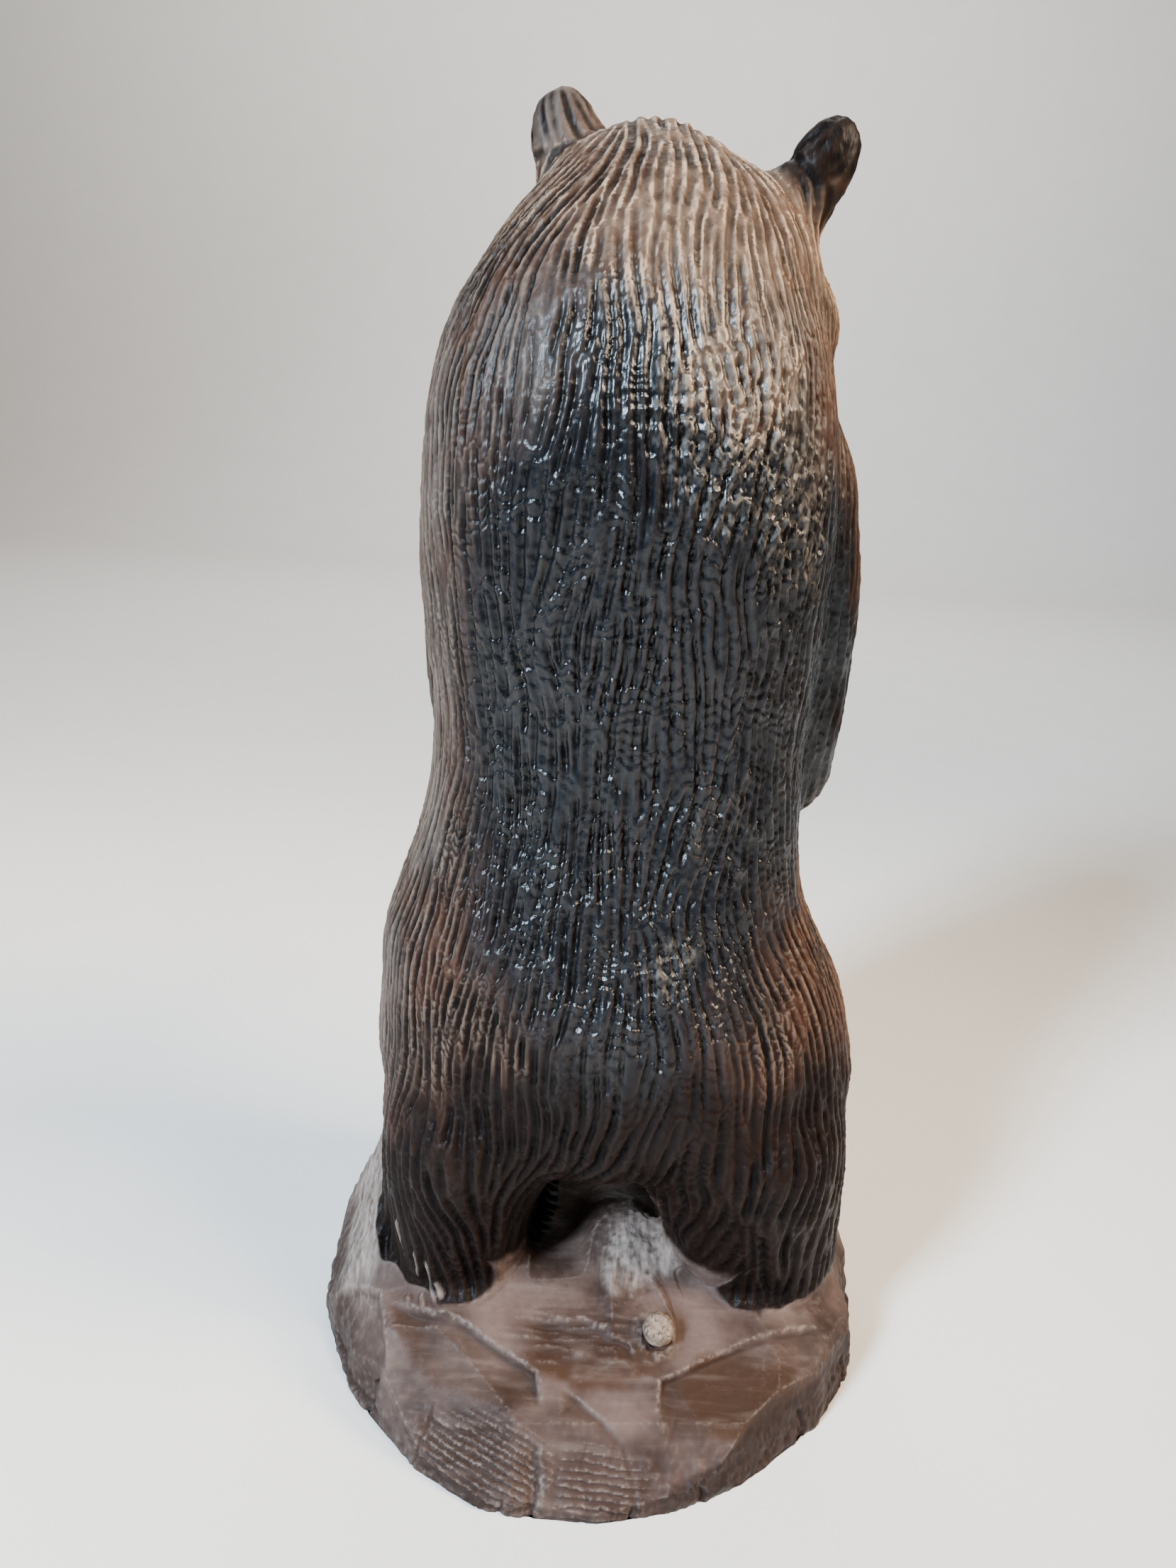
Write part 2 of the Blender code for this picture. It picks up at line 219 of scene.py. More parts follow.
def fur_direction(points, out):
    """Which way the gouges run: down the body, back over the head, and along arms and ears."""
    flow = np.zeros_like(points)
    flow[:, 2] = -0.06
    for place, way, reach in GUIDES:
        offset = points / MM - np.array(place)
        weight = np.exp(-np.sum(offset ** 2, axis=1) / (2 * (reach * 0.6) ** 2))
        flow += weight[:, None] * np.array(way) / np.linalg.norm(way)
    nose = np.array(head_point(*NOSE))
    face = near(points, head_point(0, -34, -2) / MM, (44, 40, 40))
    flow = flow * (1 - face[:, None]) + unit(points - nose) * face[:, None]
    for base, tip in EAR_AXES:
        axis = np.array(tip) - np.array(base)
        middle = (np.array(base) + np.array(tip)) / 2
        on_ear = near(points, middle + axis * 0.2, (13, 12, 15))
        flow = flow * (1 - on_ear[:, None]) + on_ear[:, None] * axis / np.linalg.norm(axis)
    flow = unit(flow - out * np.sum(flow * out, axis=1, keepdims=True))
    side = np.cross(out, flow)
    wavy = 1 + 0.7 * smoothstep(105, 60, points[:, 2] / MM)
    swing = wavy * (0.30 * soft_noise(points, 16 * MM, 1) + 0.16 * soft_noise(points, 6 * MM, 2))
    return unit(flow * np.cos(swing)[:, None] + side * np.sin(swing)[:, None])


# ---------------------------------------------------------------- regions

LEG_FOOT = ((39.2, -4, 24, 41), (-46, -4, 25, 39))  # (x, y, half width, half depth), mm


def bear_share(points):
    """1 on the bear, 0 on the mound."""
    x, y, z = (points / MM).T
    wobble = 1.2 * soft_noise(points, 5 * MM, 11)
    share = smoothstep(38, 44, z + wobble)
    for middle_x, middle_y, half_width, half_depth in LEG_FOOT:
        reach = np.hypot((x - middle_x) / (half_width + 2.5), (y - middle_y) / (half_depth + 2))
        share = np.maximum(share, smoothstep(1.06, 0.98, reach) * smoothstep(26.5, 29, z + wobble))
    for middle_x in (37, -45.5):
        reach = np.hypot((x - middle_x) / 23.5, (y + 38) / 27)
        share = np.maximum(share, smoothstep(1.05, 0.97, reach) * smoothstep(24, 28, z + wobble))
    rock = np.maximum(near(points, (68, -10, 34), (16, 40, 18)), near(points, (-68, -12, 28), (12, 34, 16)))
    outside = np.where(x > 0, smoothstep(60.5, 63.5, x), smoothstep(-68.5, -71, x))
    return share * (1 - smoothstep(0.1, 0.3, rock) * outside * (z < 52))


def gouge_spacing(points):
    """Millimetres between gouges."""
    spacing = 2.5 + 0.45 * soft_noise(points, 24 * MM, 21)
    low_legs = smoothstep(105, 60, points[:, 2] / MM)
    spacing += 0.75 * low_legs
    head = near(points, head_point(0, -20, 0) / MM, (55, 60, 45))
    spacing -= 0.4 * head
    for _, tip in EAR_AXES:
        spacing -= 0.3 * near(points, tip, (16, 14, 20))
    return np.clip(spacing, 1.8, 3.8)


# ---------------------------------------------------------------- gouges


class Grid:
    """Finds whether a point lies too near a cut already made."""

    def __init__(self, cell):
        self.cell = cell
        self.filled = {}

    def key(self, point):
        return tuple(int(c // self.cell) for c in point)

    def add(self, point, owner):
        self.filled.setdefault(self.key(point), []).append((point, owner))

    def crowded(self, point, distance, owner):
        a, b, c = self.key(point)
        for i in (a - 1, a, a + 1):
            for j in (b - 1, b, b + 1):
                for k in (c - 1, c, c + 1):
                    for other, whose in self.filled.get((i, j, k), ()):
                        if whose != owner and (other - point).length < distance:
                            return True
        return False


def trace_cuts(mesh, points, flow, spacing, allowed):
    """Runs evenly spaced gouge cuts over the surface, each along the fur's direction."""
    tree = BVHTree.FromPolygons([Vector(p) for p in points], [tuple(p.vertices) for p in mesh.polygons])
    corner = np.array([p.vertices[0] for p in mesh.polygons])
    grid = Grid(4.3 * MM)
    dice = random(31)
    seeds = dice.permutation(np.nonzero(allowed > 0.5)[0])[:26000]
    cuts = []
    for seed in seeds:
        start = Vector(points[seed])
        if grid.crowded(start, spacing[seed] * MM * 0.92, -1):
            continue
        owner = len(cuts)
        longest = dice.uniform(14, 60) * MM
        halves = []
        for sense in (1, -1):
            place, at, line = start, seed, []
            while len(line) * STEP < longest / 2:
                ahead = place + Vector(flow[at]) * (sense * STEP)
                found, _, face, _ = tree.find_nearest(ahead)
                at = corner[face]
                if allowed[at] < 0.5 or grid.crowded(found, spacing[at] * MM * 0.62, owner):
                    break
                if (found - place).length < 0.3 * STEP:
                    break
                line.append((found, at))
                place = found
            halves.append(line)
        line = halves[1][::-1] + [(start, seed)] + halves[0]
        if len(line) < 5:
            continue
        for place, _ in line:
            grid.add(place, owner)
        cuts.append(line)
    return cuts


def cut_points(cuts, spacing, depth, roundness):
    """Every point of every cut with its direction, half width, depth and roundness."""
    dice = random(41)
    rows = []
    for line in cuts:
        count = len(line)
        width = dice.uniform(0.9, 1.2)
        deep = dice.uniform(0.65, 1.15)
        chatter = dice.uniform(0, 0.55)
        phase = dice.uniform(0, 2 * pi)
        pitch = dice.uniform(1.9, 3.6) * MM
        swell = dice.uniform(9, 18) * MM
        for i, (place, at) in enumerate(line):
            along = line[min(i + 1, count - 1)][0] - line[max(i - 1, 0)][0]
            if along.length < 1e-9:
                continue
            run = min(i, count - 1 - i) * STEP / (5 * MM)
            taper = min(1, 0.35 + run)
            ripple = 1 - chatter * (0.5 + 0.5 * sin(phase + 2 * pi * i * STEP / pitch))
            ripple *= 0.85 + 0.15 * sin(phase * 3 + 2 * pi * i * STEP / swell)
            half = 0.5 * spacing[at] * MM * width * (0.7 + 0.3 * taper)
            cut = depth[at] * deep * taper * ripple
            rows.append((*place, *along.normalized(), half, cut, roundness[at]))
    return np.array(rows)


def groove_depth(points, rows, wanted):
    """How deep the cuts go at each wanted vertex, in metres."""
    tree = KDTree(len(rows))
    for i, row in enumerate(rows):
        tree.insert(row[:3], i)
    tree.balance()
    index = np.nonzero(wanted)[0]
    nearest = np.empty((len(index), NEAREST_CUTS), int)
    for k, i in enumerate(index):
        nearest[k] = [hit[1] for hit in tree.find_n(points[i], NEAREST_CUTS)]
    offset = points[index][:, None, :] - rows[nearest, :3]
    way = rows[nearest, 3:6]
    along = np.sum(offset * way, axis=2)
    across = np.sqrt(np.maximum(np.sum(offset ** 2, axis=2) - along ** 2, 0))
    overrun = np.maximum(np.abs(along) - STEP, 0)
    reach = np.sqrt(across ** 2 + (1.5 * overrun) ** 2) / rows[nearest, 6]
    cut = rows[nearest, 7] * np.clip(1 - reach ** rows[nearest, 8], 0, 1)
    depth = np.zeros(len(points))
    depth[index] = cut.max(axis=1)
    return depth


# ---------------------------------------------------------------- carved lines: face, toes, claws

TO_HEAD = HEAD_TURN.inverted()
LEFT_AND_RIGHT = (1, -1)


def in_head(points):
    """Points in the head's own frame, in millimetres."""
    return ((points - np.array(HEAD_MIDDLE)) @ np.array(TO_HEAD).T) / MM


def line_profile(points, line, half_width):
    """1 on a line of points, in millimetres, fading to 0 at half_width from it."""
    profile = np.zeros(len(points))
    line = np.array(line, float)
    reach = half_width + 0.5
    inside = np.all((points > line.min(0) - reach) & (points < line.max(0) + reach), axis=1)
    index = np.nonzero(inside)[0]
    if not len(index):
        return profile
    near_points = points[index]
    best = np.full(len(index), 9.0)
    for start, end in zip(line, line[1:]):
        run = end - start
        share = np.clip((near_points - start) @ run / (run @ run), 0, 1)
        gap = np.linalg.norm(near_points - start - share[:, None] * run, axis=1)
        best = np.minimum(best, gap)
    profile[index] = np.clip(1 - (best / half_width) ** 2, 0, 1)
    return profile


def face_lift(points):
    """How far the face's features stand proud of the head, in mm, and where it has no fur."""
    local = in_head(points)
    lift = np.zeros(len(points))

    def spot(centre, radii, sharp=0.6):
        return 1 - smoothstep(sharp, 1, np.linalg.norm((local - centre) / radii, axis=1))

    nose_pad = spot((0, -66, -4.5), (8.2, 6.5, 5.6), 0.8)
    lift += 1.1 * nose_pad
    bare = nose_pad.copy()
    for side in LEFT_AND_RIGHT:
        lift -= 2.4 * spot((side * 3.6, -68.5, -5.2), (2.3, 4, 1.7), 0.3)
        mouth = (
            (0, -67, -13),
            (side * 6.5, -64.5, -15.5),
            (side * 11.5, -56, -17),
            (side * 15.2, -46, -16.5),
            (side * 17.6, -37, -13.5),
        )
        lift -= 1.7 * line_profile(local, mouth, 1.3)
        eye = (side * 14.6, -37.6, 5.2)
        ring = np.linalg.norm(local - eye, axis=1)
        lift += 0.9 * np.exp(-((ring - 4.9) / 0.9) ** 2) - 0.9 * np.exp(-((ring - 6.6) / 0.8) ** 2)
        brow = ((side * 7, -38, 11.5), (side * 13, -36.5, 12.5), (side * 19, -31, 10.5))
        lift += 1.5 * line_profile(local, brow, 3.4)
        bare = np.maximum(bare, smoothstep(6.2, 5.2, ring))
    lift -= 1.3 * line_profile(local, ((0, -70, -8), (0, -68, -13)), 1.1)
    lift += 0.5 * line_profile(local, ((0, -60, -20), (0, -40, -23)), 6)
    return lift, bare


def ear_hollow(points):
    """The scooped front of each ear, in millimetres."""
    depth = np.zeros(len(points))
    for base, tip in EAR_AXES:
        middle = np.array(base) * 0.42 + np.array(tip) * 0.58
        scoop = near(points, middle + np.array((0, -5.5, 0)), (6.8, 5, 10))
        depth += 2.4 * scoop
    return depth


FEET = ((37, -38), (-45.5, -37))  # (middle x, middle y), mm
PAWS = ((-18.5, -57, 187), (16, -58, 190))
TOE_STEP = 8.2
CLAW_STEP = 5.0


def toe_lift(points):
    """Toes and claws on the feet and the paws, in millimetres, and where the claws are."""
    places = points / MM
    lift = np.zeros(len(points))
    claws = np.zeros(len(points))
    for middle_x, middle_y in FEET:
        for gap in (-1.5, -0.5, 0.5, 1.5):
            x = middle_x + gap * TOE_STEP
            cleft = (
                (x * 0.94 + middle_x * 0.06, middle_y - 8, 50),
                (x, middle_y - 17, 46),
                (x, middle_y - 24, 38),
                (x, middle_y - 26, 30),
            )
            lift -= 2.6 * line_profile(places, cleft, 2.2)
        for toe in (-2, -1, 0, 1, 2):
            x = middle_x + toe * TOE_STEP * 0.97
            back = 1.2 * toe * toe
            top = middle_y + back
            claw = ((x, top - 20, 44), (x, top - 24, 40), (x, top - 26, 34.5))
            shape = line_profile(places, claw, 1.9)
            lift += 2.0 * shape
            claws = np.maximum(claws, shape)
    for x0, y0, z0 in PAWS:
        for gap in (-1, 0, 1):
            x = x0 + gap * CLAW_STEP
            cleft = ((x, y0 - 9, z0 + 2), (x, y0 - 8, z0 + 9), (x, y0 - 2, z0 + 14))
            lift -= 1.8 * line_profile(places, cleft, 1.7)
        for finger in (-1.5, -0.5, 0.5, 1.5):
            x = x0 + finger * CLAW_STEP
            claw = ((x, y0 - 8.5, z0 + 9), (x, y0 - 5, z0 + 13), (x, y0, z0 + 15))
            shape = line_profile(places, claw, 1.5)
            lift += 1.6 * shape
            claws = np.maximum(claws, shape)
    return lift, claws


# ---------------------------------------------------------------- rock mound

# Broad chisel faces: (a point on the face, which way it faces), mm
CHISEL_CUTS = (
    ((38, 50, 23), (0.10, 0.50, 0.86)),
    ((28, 67, 10), (0.28, 0.66, 0.70)),
    ((0, 71, 8.5), (-0.05, 0.70, 0.71)),
    ((-38, 52, 21), (-0.16, 0.44, 0.88)),
    ((-54, 54, 6), (-0.66, 0.72, 0.20)),
    ((60, 46, 12), (0.72, 0.50, 0.48)),
    ((75, 5, 15), (0.90, 0.12, 0.42)),
    ((70, -40, 16), (0.75, -0.45, 0.48)),
    ((-75, 8, 12), (-0.92, 0.10, 0.38)),
    ((-67, -40, 12), (-0.72, -0.52, 0.46)),
    ((32, -67, 10), (0.30, -0.80, 0.52)),
    ((-28, -67, 11), (-0.25, -0.80, 0.54)),
    ((4, -63, 22), (0.05, -0.50, 0.86)),
    ((4, 60, 18), (-0.03, 0.42, 0.91)),
    ((-64, 40, 14), (-0.74, 0.42, 0.53)),
    ((52, -58, 14), (0.50, -0.62, 0.60)),
)
CHISEL_BITE = 0.9  # mm that the finishing cut takes off each face
DEEPEST_BITE = 3.2  # mm
RIM_FACES = 17
RIM_CRACKS = 34
# Hollow faces that a broad gouge left in the mound: (corners (x, y), depth), mm
SCOOPS = (
    # back
    (((57.5, 32), (36, 42), (15, 49.5), (12.5, 60.5), (22, 61.5), (41, 55.5), (54, 42)), 1.7),
    (((-16.5, 51), (-30.5, 45), (-62.5, 29.5), (-59.5, 44.5), (-47, 56), (-38.5, 62), (-18.5, 65),
      (-15, 59)), 1.5),
    (((9, 54), (4, 57), (-4, 60.5), (-16, 66), (-6, 66), (9, 62)), 1.2),
    (((44, 58), (12, 66), (11, 79), (30, 79), (46, 68)), 0.8),
    (((24, 41), (4, 40), (-9, 46), (-11, 51), (14, 47)), 1.0),
    # left side
    (((58, 31), (52, 50), (60, 54), (74, 34), (75, 22)), 1.3),
    (((60, 12), (62, 22), (78, 18), (78, -10), (66, -12)), 1.1),
    (((62, -18), (80, -16), (74, -46), (58, -44)), 1.4),
    # front
    (((54, -46), (70, -50), (44, -70), (36, -56)), 1.3),
    (((30, -58), (36, -74), (6, -82), (4, -64)), 1.3),
    (((0, -64), (0, -82), (-32, -78), (-28, -60)), 1.5),
    (((-34, -58), (-38, -74), (-66, -52), (-56, -42)), 1.3),
    # right side
    (((-60, -38), (-74, -42), (-82, -12), (-66, -14)), 1.4),
    (((-66, -8), (-82, -6), (-78, 20), (-64, 18)), 1.2),
)
SCOOP_GAIN = 1.5
UPHILL = 0.3  # an edge counts as uphill when its inward direction points this much downhill
FAR_AWAY = 99.0  # mm
KNOT_FACE = (-15.8, 45.5, 30)  # mm
KNOT_WAY = (0, cos(radians(48)), sin(radians(48)))
KNOT_RADIUS = 4.2  # mm


def rim_cuts(points):
    """Upright faces all round the mound's edge: (a point on the face, which way it faces), mm."""
    low = points[points[:, 2] < 5 * MM] / MM
    angle, radius = np.arctan2(low[:, 1], low[:, 0]), np.hypot(low[:, 0], low[:, 1])
    dice = random(52)
    cuts = []
    for turn in np.arange(RIM_FACES) * 2 * pi / RIM_FACES + dice.uniform(-0.09, 0.09, RIM_FACES):
        apart = np.abs((angle - turn + pi) % (2 * pi) - pi)
        reach = radius[apart < 0.05].max() - 0.4
        place = (reach * cos(turn), reach * sin(turn), 0)
        cuts.append((place, (cos(turn), sin(turn), dice.uniform(0.02, 0.2))))
    return cuts


def pare_rock(points, rock):
    """Cuts the mound's faces flat again, so that their edges are crisp. Returns the new points."""
    pared = points.copy()
    wave = 0.25 * MM * soft_noise(points, 9 * MM, 51)
    for place, facing in (*CHISEL_CUTS, *rim_cuts(points)):
        facing = np.array(facing) / np.linalg.norm(facing)
        height = (pared - np.array(place) * MM) @ facing + CHISEL_BITE * MM + wave
        over = np.clip(height, 0, DEEPEST_BITE * MM) * rock
        pared -= over[:, None] * facing
    return pared


def scoop_edges(x, y, corners):
    """How far inside a hollow face each point is: from its uphill edges, and from its other edges."""
    corners = np.array(corners, float)
    middle = corners.mean(axis=0)
    downhill = middle / np.linalg.norm(middle)
    steep = np.full(len(x), FAR_AWAY)
    gentle = np.full(len(x), FAR_AWAY)
    for start, end in zip(corners, np.roll(corners, -1, axis=0)):
        inwards = np.array((start[1] - end[1], end[0] - start[0])) / np.linalg.norm(end - start)
        if (middle - start) @ inwards < 0:
            inwards = -inwards
        gap = (x - start[0]) * inwards[0] + (y - start[1]) * inwards[1]
        if inwards @ downhill > UPHILL:
            steep = np.minimum(steep, gap)
        else:
            gentle = np.minimum(gentle, gap)
    return steep, gentle


def scoop_depth(x, y, corners):
    """1 just inside a hollow face's uphill edge, falling away to 0 at its other edges."""
    steep, gentle = scoop_edges(x, y, corners)
    return smoothstep(0, 1.9, steep) * smoothstep(0, 6, gentle) * (1 - 0.75 * smoothstep(2, 18, steep))


def hollow_share(points):
    """1 on the mound's hollow faces, 0 on the ledges between them."""
    x, y, z = (points / MM).T
    wander = 0.5 * soft_noise(points, 8 * MM, 61)
    share = np.zeros(len(points))
    for corners, _ in SCOOPS:
        steep, gentle = scoop_edges(x + wander, y + wander, corners)
        share = np.maximum(share, smoothstep(0.3, 1.6, steep) * smoothstep(0, 2.5, gentle))
    return share * (z < ROCK_TOP)


def rock_relief(points):
    """Ribs, cracks and roughness of the mound, in millimetres outwards."""
    x, y, z = (points / MM).T
    wander = soft_noise(points, 8 * MM, 61)
    ribs_left = near(points, (30, 70, 8), (25, 15, 15)) * smoothstep(6, 10, x)
    ribs_middle = near(points, (-1, 74, 7), (17, 12, 12)) * smoothstep(9, 6, x)
    waver = 0.3 * wander + 0.15 * soft_noise(points, 3 * MM, 60)
    slanted = (y * 0.66 - z * 0.7 + x * 0.42) / 1.85 + waver
    level = (y * 0.66 - z * 0.7 + x * 0.05) / 1.9 + waver
    rib_height = 0.85 + 0.35 * soft_noise(points, 4 * MM, 59)
    relief = rib_height * (ribs_left * (slanted % 1) + ribs_middle * (level % 1))
    for corners, deep in SCOOPS:
        scooped = scoop_depth(x + 0.5 * wander, y + 0.5 * wander, corners)
        relief -= SCOOP_GAIN * deep * scooped * (z < ROCK_TOP) * (z > 1.5)
    collar = np.linalg.norm(points / MM - np.array(KNOT_FACE), axis=1)
    relief += smoothstep(10, 6.2, collar) * (1.0 + 0.5 * soft_noise(points, 1.8 * MM, 58))
    fibre = np.maximum(near(points, (6, 46, 27), (26, 11, 10)), near(points, (-44, 26, 25), (26, 10, 9)))
    relief += 0.5 * fibre * soft_noise(points * np.array((0.16, 1, 1)), 1.3 * MM, 62)
    edge = smoothstep(17, 6, z) * smoothstep(64, 70, np.hypot(x, y)) * (1 - ribs_left) * (1 - ribs_middle)
    relief += edge * (0.55 * soft_noise(points, 3.2 * MM, 63) + 0.3 * soft_noise(points, 1.6 * MM, 64))
    relief += 0.14 * soft_noise(points, 5 * MM, 65) + 0.07 * soft_noise(points, 1.8 * MM, 66)
    angle = np.arctan2(y, x)
    dice = random(67)
    for _ in range(RIM_CRACKS):
        middle, width, reach = dice.uniform(-pi, pi), dice.uniform(0.008, 0.02), dice.uniform(7, 17)
        bend = 0.012 * np.sin(z * dice.uniform(0.3, 0.7)) + 0.01 * wander
        apart = np.abs((angle - middle - bend + pi) % (2 * pi) - pi)
        crack = np.clip(1 - apart / width, 0, 1) * smoothstep(reach, reach - 4, z)
        relief -= dice.uniform(0.7, 1.5) * crack * edge
    strands = near(points, (69, 4, 28), (16, 48, 28))
    run = (x * 0.75 - z * 0.1 - y * 0.28) / 2.6 + 0.7 * wander + 0.3 * soft_noise(points, 3 * MM, 70)
    relief += 0.9 * strands * (1 - np.abs(np.sin(pi * run)) ** 0.7)
    root = near(points, (-8, 22, 36), (15, 34, 14))
    relief += root * (0.4 * soft_noise(points, 2.0 * MM, 68) + 0.25 * soft_noise(points, 1.2 * MM, 69))
    return relief


# ---------------------------------------------------------------- where the finish changes

# Tone: patches as (middle, radii), mm
TONES = {
    "black": (
        ((-3, 45, 190), (66, 64, 122)),
        ((-38, 10, 190), (26, 60, 70)),
        ((38, -30, 190), (20, 40, 60)),
    ),
    "russet": (
        ((18, 33, 285), (17, 22, 17)),
        ((-29, 2, 296), (16, 22, 18)),
        ((40, 30, 62), (34, 50, 44)),
        ((-44, 30, 62), (34, 50, 44)),
        ((0, 45, 92), (60, 40, 34)),
        ((-38, 52, 20), (26, 16, 14)),
        ((-39, -2, 316), (10, 10, 9)),
    ),
    "pale": (
        ((-6, 26, 288), (34, 30, 30)),
        ((-6, -10, 288), (56, 60, 36)),
        ((-16, 36, 262), (20, 22, 22)),
    ),
    # grey-brown wood that partly stands for painted sheen where a cool window grazes the left flank
    "grey_and_sheen": (
        ((54, 0, 235), (22, 56, 70)),
        ((52, 6, 170), (14, 46, 60)),
        ((64, 5, 105), (14, 46, 40)),
        ((24, 36, 262), (24, 30, 30)),
        ((26, -15, 313), (13, 13, 18)),
        ((-24, 34, 240), (22, 24, 34)),
    ),
    # mostly painted shade: low on the rump, between the legs, on both legs, the right arm and the right ear;
    # partly the legs' own dark stain
    "dark": (
        ((-33, -2, 307), (15, 13, 18)),
        ((2, 0, 52), (19, 48, 24)),
        ((-46, 20, 48), (46, 54, 76)),
        ((2, 46, 80), (62, 38, 44)),
        ((38, 24, 40), (44, 52, 66)),
        ((-46, -18, 180), (20, 32, 64)),
    ),
    "dusty": (
        ((-17, 40, 250), (25, 24, 32)),
        ((-32, 30, 232), (16, 24, 26)),
        ((-25, 42, 161), (18, 18, 18)),
        ((-15, 48, 130), (16, 16, 13)),
        ((30, 8, 322), (14, 16, 14)),
    ),
    "bleached": (
        ((-10, 30, 38), (17, 26, 13)),
        ((-15, 46, 33), (9, 9, 8)),
        ((66, 6, 30), (16, 46, 26)),
    ),
    # painted shade on the mound: beside the knot's ridge, low at the back and between the feet
    "painted_shade_rock": (
        ((2, 48, 27), (28, 12, 10)),
        ((-2, 70, 10), (24, 14, 12)),
        ((2, 10, 42), (20, 40, 16)),
    ),
    "ruddy": (
        ((-38, 54, 19), (28, 17, 14)),
        ((4, 52, 25), (24, 11, 9)),
    ),
}
SHARP_RIDGE = 0.10  # mm that a vertex stands proud of its neighbours


def tone(points, name):
    """How much of a tone there is at each point, from 0 to 1, with a ragged edge."""
    broad = 5 * MM * soft_noise(points, 11 * MM, 81)
    fine = 2 * MM * soft_noise(points, 3 * MM, 82)
    ragged = points + broad[:, None] + fine[:, None]
    return np.max([near(ragged, middle, radii) for middle, radii in TONES[name]], axis=0)


def ridge_height(mesh):
    """How far each vertex stands proud of its neighbours: 1 on a ridge, 0 on a flat, -1 in a crease."""
    points, out = coordinates(mesh), normals(mesh)
    ends = np.empty(len(mesh.edges) * 2, np.int32)
    mesh.edges.foreach_get("vertices", ends)
    first, second = ends.reshape(-1, 2).T
    height = np.zeros(len(points))
    for _ in range(2):
        total = np.zeros_like(points)
        for axis in range(3):
            total[:, axis] = np.bincount(first, points[second, axis], len(points))
            total[:, axis] += np.bincount(second, points[first, axis], len(points))
        count = np.bincount(ends, minlength=len(points))
        middle = total / count[:, None]
        height += np.sum((points - middle) * out, axis=1)
        points = middle
    return np.clip(height / (SHARP_RIDGE * MM), -1, 1)


# ---------------------------------------------------------------- the carving

CHIP_LENGTH = 3.4  # mm
# Pale strands over the left heel, as lines of points, mm
STRANDS = (
    ((54, 28.5, 44), (53.5, 29, 36), (51, 32.5, 28), (50, 36, 25.5)),
    ((49, 33.5, 38), (48, 34, 32), (46, 36.5, 26.5), (45, 40, 24.5)),
    ((45.5, 35.5, 36), (44.5, 35.8, 30), (42, 38, 26), (41, 42, 24.5)),
    ((42.5, 36.3, 31), (40, 37.5, 26.5), (38.5, 42, 24.5)),
)
SCALLOP_STRETCH = np.array((1, 1, 0.55))  # the gouge's small bites are drawn out along the height


def chips(points):
    """Steps left by short strokes of the gouge: a saw tooth down the height, which shifts between ridges."""
    shift = 1.7 * soft_noise(points * np.array((1, 1, 0.12)), 2.4 * MM, 76)
    shift += 0.5 * soft_noise(points, 6 * MM, 77)
    tooth = (points[:, 2] / (CHIP_LENGTH * MM) + shift) % 1
    return (tooth - 0.5) * smoothstep(-0.5, 0.3, soft_noise(points, 5 * MM, 78))


def strand_share(points):
    """1 on the pale strands that run down over the left heel onto the rock."""
    return np.max([line_profile(points / MM, strand, 1.0) for strand in STRANDS], axis=0)


